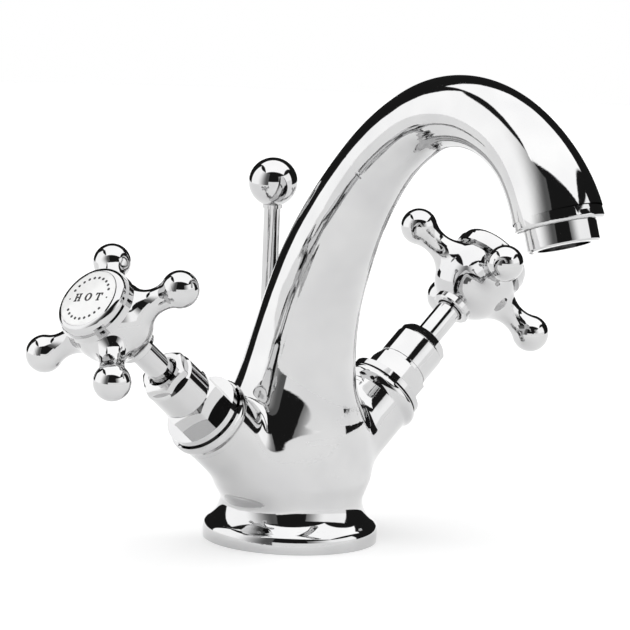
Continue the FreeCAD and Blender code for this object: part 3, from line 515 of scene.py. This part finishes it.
def valve_way(side):
    """Outward direction of a valve's axis, on the side that has this sign in x."""
    return Vector((side * math.sin(VALVE_TILT), 0, math.cos(VALVE_TILT)))


def arm_field(p, side):
    """Distance outside one valve arm, and the station along its axis."""
    x, y, z = p.T
    way = (side * math.sin(VALVE_TILT), math.cos(VALVE_TILT))
    station = x * way[0] + (z - VALVE_ORIGIN) * way[1]
    along = np.maximum(station, 0)
    across = np.hypot(y, np.hypot(x - along * way[0], z - VALVE_ORIGIN - along * way[1]))
    length = ARM_STATIONS[1] - ARM_STATIONS[0]
    share = np.clip((along - ARM_STATIONS[0]) / length, 0, 1)
    straight = ARM_RADII[0] + (ARM_RADII[1] - ARM_RADII[0]) * share
    half = math.hypot(length, ARM_RADII[0] - ARM_RADII[1]) / 2
    deep = np.sqrt(ARM_SWEEP ** 2 - (half * (2 * share - 1)) ** 2)
    dip = deep - math.sqrt(ARM_SWEEP ** 2 - half ** 2)
    return across - (straight - dip), station


def shoulder_field(p):
    """Distance outside the broad shoulder that fills the front and back between the arms."""
    x, y, z = p.T
    rise = (z - SHOULDER_HEIGHT) / SHOULDER_HALF
    plan = (np.abs(x / SHOULDER_SPREAD[0]) ** SHOULDER_PLAN
            + np.abs(y / SHOULDER_SPREAD[1]) ** SHOULDER_PLAN)
    girth = plan ** (1 / SHOULDER_PLAN) / (1 + SHOULDER_FLARE * np.clip(rise, -1, 1))
    solid = girth ** SHOULDER_SQUARE + np.abs(rise) ** SHOULDER_SQUARE
    return (solid ** (1 / SHOULDER_SQUARE) - 1) * SHOULDER_SPREAD[1]


def join(first, second, width):
    """The smaller of two distances, with a fillet where they are within a width."""
    overlap = np.maximum(width - np.abs(first - second), 0) / width
    return np.minimum(first, second) - overlap ** 3 * width / 6


def hard_field(p):
    """Distance outside the foot, spout and arms, with nothing blended between them."""
    return np.minimum(spout_field(p)[0], np.minimum(arm_field(p, -1)[0], arm_field(p, 1)[0]))


def body_field(p):
    """Distance outside the whole casting, with shoulder, arms and spout blended together."""
    root = BLEND_LEAST + ease(p[:, 2], *BLEND_START)
    field = join(spout_field(p)[0], shoulder_field(p), root * SHOULDER_BLEND)
    for side in (-1, 1):
        arm, station = arm_field(p, side)
        width = root * ARM_BLEND * (1 - ARM_BLEND_LOSS * ease(station, *ARM_BLEND_STATIONS))
        field = join(field, arm, width)
    return field


def body_slope(p, step=0.02):
    """Gradient of the field by central differences."""
    slope = np.empty_like(p)
    for axis in range(3):
        shift = np.zeros(3)
        shift[axis] = step
        slope[:, axis] = (body_field(p + shift) - body_field(p - shift)) / (2 * step)
    return slope


def tube_mesh(rings):
    """A closed tube from rings of (centre, side vector, other side vector, radius)."""
    count = TUBE_SIDES
    verts, faces = [], []
    for centre, side, other, radius in rings:
        for k in range(count):
            turn = 2 * math.pi * k / count
            verts.append(centre + side * (radius * math.cos(turn))
                         + other * (radius * math.sin(turn)))
    for ring in range(len(rings) - 1):
        for k in range(count):
            a, b = ring * count + k, ring * count + (k + 1) % count
            faces.append((a, b, b + count, a + count))
    faces.append(tuple(reversed(range(count))))
    faces.append(tuple(range((len(rings) - 1) * count, len(rings) * count)))
    return verts, faces


def rough_body():
    """Overlapping closed tubes for the foot, the spout and the arms, made one by a remesh."""
    x_way = Vector((1, 0, 0))
    heights = np.linspace(COVE_FOOT - FOOT_OVERLAP, WAIST_HEIGHT - WAIST_OVERLAP, FOOT_RINGS)
    rings = [(Vector((0, 0, z)), x_way, Vector((0, 1, 0)), float(cove_radius(z)))
             for z in heights]
    for run in np.linspace(0, SPOUT_LENGTH + OUTLET_OVERLAP, SPOUT_RINGS):
        y, z, heading = spout_point(run)
        other = Vector((0, math.sin(heading), math.cos(heading)))
        rings.append((Vector((0, y, z)), x_way, other, float(spout_radius(np.array(run)))))
    tubes = [tube_mesh(rings)]
    stations = np.linspace(*ARM_SPAN, ARM_RINGS)
    radii = np.interp(stations, ARM_STATIONS, ARM_RADII)
    for side in (-1, 1):
        way = valve_way(side)
        across = Vector((0, 1, 0)).cross(way) * side
        tubes.append(tube_mesh([
            (Vector((0, 0, VALVE_ORIGIN)) + way * station, across, Vector((0, -side, 0)), radius)
            for station, radius in zip(stations, radii)]))
    mesh = bpy.data.meshes.new("rough_body")
    verts, faces = [], []
    for tube_verts, tube_faces in tubes:
        start = len(verts)
        verts += tube_verts
        faces += [tuple(start + k for k in face) for face in tube_faces]
    mesh.from_pydata(verts, [], faces)
    body = bpy.data.objects.new("rough_body", mesh)
    bpy.context.scene.collection.objects.link(body)
    remesh = body.modifiers.new("remesh", "REMESH")
    remesh.mode = "VOXEL"
    remesh.voxel_size = VOXEL
    graph = bpy.context.evaluated_depsgraph_get()
    result = bpy.data.meshes.new_from_object(body.evaluated_get(graph))
    bpy.data.objects.remove(body)
    return result


def settle(points, rounds):
    """Move points along the field's slope onto the surface."""
    for _ in range(rounds):
        slope = body_slope(points)
        steep = np.maximum((slope ** 2).sum(axis=1), LEAST_STEEPNESS)
        step = np.clip(body_field(points) / steep, -STEP_LIMIT, STEP_LIMIT)
        points = points - slope * step[:, None]
    return points


def relax(points, edges, fixed):
    """Move each point to the mean of its neighbours, except the fixed ones."""
    total, count = np.zeros_like(points), np.zeros(len(points))
    for first, second in ((edges[:, 0], edges[:, 1]), (edges[:, 1], edges[:, 0])):
        np.add.at(total, first, points[second])
        np.add.at(count, first, 1)
    moved = total / np.maximum(count, 1)[:, None]
    return np.where(fixed[:, None], points, moved)


def skin_planes(margin):
    """Where the blended skin ends: point and outward normal of each cutting plane."""
    planes = [(Vector((0, 0, SKIN_BOTTOM - margin)), Vector((0, 0, -1)))]
    for side in (-1, 1):
        way = valve_way(side)
        planes.append((Vector((0, 0, VALVE_ORIGIN)) + way * (SKIN_ARM_END + margin), way))
    y, z, heading = spout_point(SPOUT_LENGTH - SKIN_OUTLET_GAP + margin)
    planes.append((Vector((0, y, z)), Vector((0, -math.cos(heading), math.sin(heading)))))
    return planes


def cut_skin(shape, margin, index, clear=True):
    """Cut a mesh at one of the skin's end planes, which reaches only so far from its point."""
    point, normal = skin_planes(margin)[index]
    near = {vert for vert in shape.verts if (vert.co - point).length < CUT_REACH[index]}
    edges = [edge for edge in shape.edges if edge.verts[0] in near and edge.verts[1] in near]
    faces = [face for face in shape.faces if all(vert in near for vert in face.verts)]
    bmesh.ops.bisect_plane(shape, geom=list(near) + edges + faces, dist=1e-5, plane_co=point,
                           plane_no=normal, clear_outer=clear)


def body_skin():
    """The smooth outer skin, from the foot to the arms' ends and the outlet."""
    mesh = rough_body()
    shape = bmesh.new()
    shape.from_mesh(mesh)
    for index in range(len(CUT_REACH)):
        cut_skin(shape, TRIM_MARGIN, index)
    shape.to_mesh(mesh)
    points = np.empty(len(mesh.vertices) * 3)
    mesh.vertices.foreach_get("co", points)
    edges = np.empty(len(mesh.edges) * 2, dtype=int)
    mesh.edges.foreach_get("vertices", edges)
    points, edges = points.reshape(-1, 3), edges.reshape(-1, 2)
    shape.verts.ensure_lookup_table()
    rim = np.array([v.is_boundary for v in shape.verts])
    points = settle(points, FIRST_SETTLING)
    for _ in range(RELAX_ROUNDS):
        points = settle(relax(points, edges, rim), LATER_SETTLING)
    for vert, point in zip(shape.verts, points):
        vert.co = point
    for index in range(len(CUT_REACH)):
        cut_skin(shape, 0, index)
    shape.to_mesh(mesh)
    shape.free()
    return mesh


def drill_skin(mesh):
    """Cut the lift rod's hole where it comes out behind the spout."""
    skin = bpy.data.objects.new("skin", mesh)
    bpy.context.scene.collection.objects.link(skin)
    bpy.ops.mesh.primitive_cylinder_add(vertices=DRILL_SIDES, radius=BUSH_HOLE, depth=DRILL_LENGTH,
                                        location=(0, ROD_OFFSET, DRILL_HEIGHT))
    drill = bpy.context.active_object
    cut = skin.modifiers.new("rod_hole", "BOOLEAN")
    cut.object, cut.operation, cut.solver = drill, "DIFFERENCE", "EXACT"
    graph = bpy.context.evaluated_depsgraph_get()
    result = bpy.data.meshes.new_from_object(skin.evaluated_get(graph))
    bpy.data.objects.remove(skin)
    bpy.data.objects.remove(drill)
    return result


def keeps_face(centres):
    """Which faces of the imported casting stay: the flange, the lips, the outlet and all that
    is inside, but not the outer skin between them."""
    skin = hard_field(centres) > -SKIN_DEPTH
    skin &= centres[:, 2] > SKIN_BOTTOM
    skin &= spout_field(centres)[1] < SPOUT_LENGTH - SKIN_OUTLET_GAP
    for point, way in skin_planes(0)[1:3]:
        offset = centres - np.array(point)
        past = offset @ np.array(way) > 0
        skin &= ~(past & (np.linalg.norm(offset, axis=1) < ARM_END_REACH))
    at_rod = np.hypot(centres[:, 0], centres[:, 1] - ROD_OFFSET) < BUSH_HOLE + BUSH_LIP
    skin &= ~(at_rod & (centres[:, 1] > 0))
    return ~skin


def make_body(node):
    """The casting with its shoulder and arms blended smoothly into the spout."""
    shape = bmesh.new()
    shape.from_mesh(node.data)
    bmesh.ops.scale(shape, vec=(MM_PER_M,) * 3, verts=shape.verts)
    bmesh.ops.remove_doubles(shape, verts=shape.verts, dist=MERGE_DISTANCE)
    for index in range(len(CUT_REACH)):
        cut_skin(shape, 0, index, clear=False)
    centres = np.array([face.calc_center_median() for face in shape.faces])
    doomed = [face for face, kept in zip(shape.faces, keeps_face(centres)) if not kept]
    bmesh.ops.delete(shape, geom=doomed, context="FACES")
    kept_count = len(shape.faces)
    skin = drill_skin(body_skin())
    shape.from_mesh(skin)
    bpy.data.meshes.remove(skin)
    bmesh.ops.scale(shape, vec=(1 / MM_PER_M,) * 3, verts=shape.verts)
    mesh = bpy.data.meshes.new("mixer_body")
    shape.to_mesh(mesh)
    shape.free()
    mesh.polygons.foreach_set("use_smooth", [True] * len(mesh.polygons))
    mesh.set_sharp_from_angle(angle=SHARP_ANGLE)
    # the skin is shaded by the slope of the field, the kept faces by their own corners
    normals = np.empty(len(mesh.loops) * 3)
    mesh.corner_normals.foreach_get("vector", normals)
    normals = normals.reshape(-1, 3)
    points = np.empty(len(mesh.vertices) * 3)
    mesh.vertices.foreach_get("co", points)
    slope = body_slope(points.reshape(-1, 3) * MM_PER_M)
    slope /= np.linalg.norm(slope, axis=1)[:, None]
    corner_vertex = np.empty(len(mesh.loops), dtype=int)
    mesh.loops.foreach_get("vertex_index", corner_vertex)
    first_corner = mesh.polygons[kept_count].loop_start
    normals[first_corner:] = slope[corner_vertex[first_corner:]]
    mesh.normals_split_custom_set(normals)
    body = bpy.data.objects.new("mixer_body", mesh)
    bpy.context.scene.collection.objects.link(body)
    mesh.materials.append(MATERIALS["chrome"])
    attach(body, "faucet_body")
    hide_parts("body_casting")


# ---- lettering -----------------------------------------------------------------------
# Millimetres, on an index disc whose top is a dome this far along the valve's axis.

INDEX_TOP = 107.58
INDEX_CROWN = 120.0
GLAZE_HEIGHT = 0.06
LETTER_HEIGHT = 2.6
LETTER_PITCH = {"HOT": 4.0, "COLD": 3.1}
LETTER_MIDDLE = 0.46
STROKE_GROWTH = 0.04
SHARPEST_CORNER = 0.5
WORD_RISE = 0.3
WORD_TURN = {"hot": 13.0, "cold": -13.0}
RING_RADIUS = 7.2
DOT_RADIUS = 0.47
DOT_SIDES = 12
UPPER_DOTS = (24, 156, 10)
LOWER_DOTS = (212, 328, 9)
SIDE_DOTS = (0, 180)
SIDE_DOT_SHARE = 0.6
GLAZE_MERGE = 1e-5


def letter_outlines():
    """Seriffed capitals, one unit high, as closed outlines; a second one is a hole."""
    def bowl(rx, ry, x, steps, start=0.0, sweep=2 * math.pi):
        return [(x + rx * math.cos(start + sweep * k / steps),
                 0.5 + ry * math.sin(start + sweep * k / steps)) for k in range(steps)]

    def bulge(x, rx, ry, first, last, steps):
        return [(x + rx * math.sin(a), .5 - ry * math.cos(a))
                for a in np.linspace(first, last, steps)]

    bar_foot, bar_top = [(.1, .91), (.1, .09), (0, .07)], [(0, 1), (0, .93)]
    h = [(0, 0), (.36, 0), (.36, .07), (.27, .09), (.27, .46), (.63, .46), (.63, .09),
         (.54, .07), (.54, 0), (.9, 0), (.9, .07), (.81, .09), (.81, .91), (.9, .93), (.9, 1),
         (.54, 1), (.54, .93), (.63, .91), (.63, .55), (.27, .55), (.27, .91), (.36, .93),
         (.36, 1), *bar_top, (.09, .91), (.09, .09), (0, .07)]
    t = [(.27, 0), (.67, 0), (.67, .07), (.56, .09), (.56, .92), (.74, .9), (.86, .72),
         (.94, .72), (.92, 1), (.02, 1), (0, .72), (.08, .72), (.2, .9), (.38, .92),
         (.38, .09), (.27, .07)]
    l = [(0, 0), (.76, 0), (.8, .34), (.72, .34), (.6, .1), (.28, .09), (.28, .91),
         (.4, .93), (.4, 1), *bar_top, *bar_foot]
    c_outer = bowl(.46, .51, .48, 22, math.radians(50), math.radians(272))
    c_inner = bowl(.28, .42, .5, 22, math.radians(50), math.radians(260))
    c = [*c_outer, (.8, .12), (.76, .2), *c_inner[::-1], (.72, .7), (.8, .7), (.8, 1.0), (.74, .98)]
    d = [(0, 0), (.42, 0), *bulge(.42, .48, .5, 0.15, math.pi - 0.15, 16), (.42, 1),
         *bar_top, *bar_foot]
    d_hole = [(.28, .09), *bulge(.4, .3, .41, 0, math.pi, 14), (.28, .91)]
    o, o_hole = bowl(.48, .51, .48, 32), bowl(.27, .43, .48, 32)
    return {"H": [h], "T": [t], "L": [l], "C": [c], "D": [d, d_hole], "O": [o, o_hole]}


def thicken(outline, grow):
    """A closed outline moved outward by a distance, with its corners kept."""
    moved = []
    befores, afters = outline[-1:] + outline[:-1], outline[1:] + outline[:1]
    for before, here, after in zip(befores, outline, afters):
        first = (Vector(here) - Vector(before)).normalized()
        second = (Vector(after) - Vector(here)).normalized()
        way = Vector((first.y + second.y, -first.x - second.x))
        shift = way * (grow / max(1 + first.dot(second), SHARPEST_CORNER))
        moved.append((here[0] + shift.x, here[1] + shift.y))
    return moved


def word_outlines(word):
    """The word's letters on the disc, flat, with a ring of dots round them."""
    shapes = []
    outlines = letter_outlines()
    start = -(len(word) - 1) / 2 * LETTER_PITCH[word]
    for index, letter in enumerate(word):
        shift = start + index * LETTER_PITCH[word] - LETTER_MIDDLE * LETTER_HEIGHT
        for number, outline in enumerate(outlines[letter]):
            outline = thicken(outline, -STROKE_GROWTH if number else STROKE_GROWTH)
            shapes.append([(x * LETTER_HEIGHT + shift, (y - 0.5) * LETTER_HEIGHT + WORD_RISE)
                           for x, y in outline])
    marks = [(angle, DOT_RADIUS) for angle in np.linspace(*UPPER_DOTS)]
    marks += [(angle, DOT_RADIUS) for angle in np.linspace(*LOWER_DOTS)]
    marks += [(angle, DOT_RADIUS * SIDE_DOT_SHARE) for angle in SIDE_DOTS]
    for angle, radius in marks:
        x = RING_RADIUS * math.cos(math.radians(angle))
        y = RING_RADIUS * math.sin(math.radians(angle))
        turns = [k * math.pi / (DOT_SIDES / 2) for k in range(DOT_SIDES)]
        shapes.append([(x + radius * math.cos(turn), y + radius * math.sin(turn))
                       for turn in turns])
    return shapes


def make_lettering(side, word, body_name):
    """Black glaze on an index disc: the word, with a ring of dots round it."""
    curve = bpy.data.curves.new(f"{side}_lettering", "CURVE")
    curve.dimensions = "2D"
    curve.fill_mode = "BOTH"
    curve.extrude = GLAZE_HEIGHT / 2
    for outline in word_outlines(word):
        spline = curve.splines.new("POLY")
        spline.points.add(len(outline) - 1)
        for point, (x, y) in zip(spline.points, outline):
            point.co = (x, y, 0, 1)
        spline.use_cyclic_u = True
    flat = bpy.data.objects.new("flat", curve)
    mesh = bpy.data.meshes.new_from_object(flat)
    mesh.name = f"{side}_lettering"
    bpy.data.objects.remove(flat)
    shape = bmesh.new()
    shape.from_mesh(mesh)
    bmesh.ops.remove_doubles(shape, verts=shape.verts, dist=GLAZE_MERGE)
    sign = 1 if side == "cold" else -1
    axis = valve_way(sign)
    leaning = Vector((-sign * math.cos(VALVE_TILT), 0, math.sin(VALVE_TILT)))
    turn = math.radians(WORD_TURN[side])
    right = Vector((0, sign, 0)) * math.cos(turn) + leaning * math.sin(turn)
    up = axis.cross(right)
    for vert in shape.verts:
        x, y, z = vert.co
        dome = INDEX_TOP - (x * x + y * y) / (2 * INDEX_CROWN)
        place = Vector((0, 0, VALVE_ORIGIN)) + axis * (dome + z) + right * x + up * y
        vert.co = place / MM_PER_M
    shape.to_mesh(mesh)
    shape.free()
    lettering = bpy.data.objects.new(f"{side}_lettering", mesh)
    bpy.context.scene.collection.objects.link(lettering)
    mesh.materials.append(MATERIALS["glaze"])
    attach(lettering, body_name)


# ---- the scene -----------------------------------------------------------------------

SLOTS = {part["node"]: part["material_slot"] for part in frame["record"]["subparts"]}
for name, node in frame["nodes"].items():
    node.data.materials.clear()
    node.data.materials.append(MATERIALS[SLOTS[name]])

make_camera()
make_world()
make_floor()
make_body(frame["nodes"]["body_casting"])
make_lettering("hot", "HOT", "hot_handle")
make_lettering("cold", "COLD", "cold_handle")
bpy.context.scene.view_settings.view_transform = "Standard"
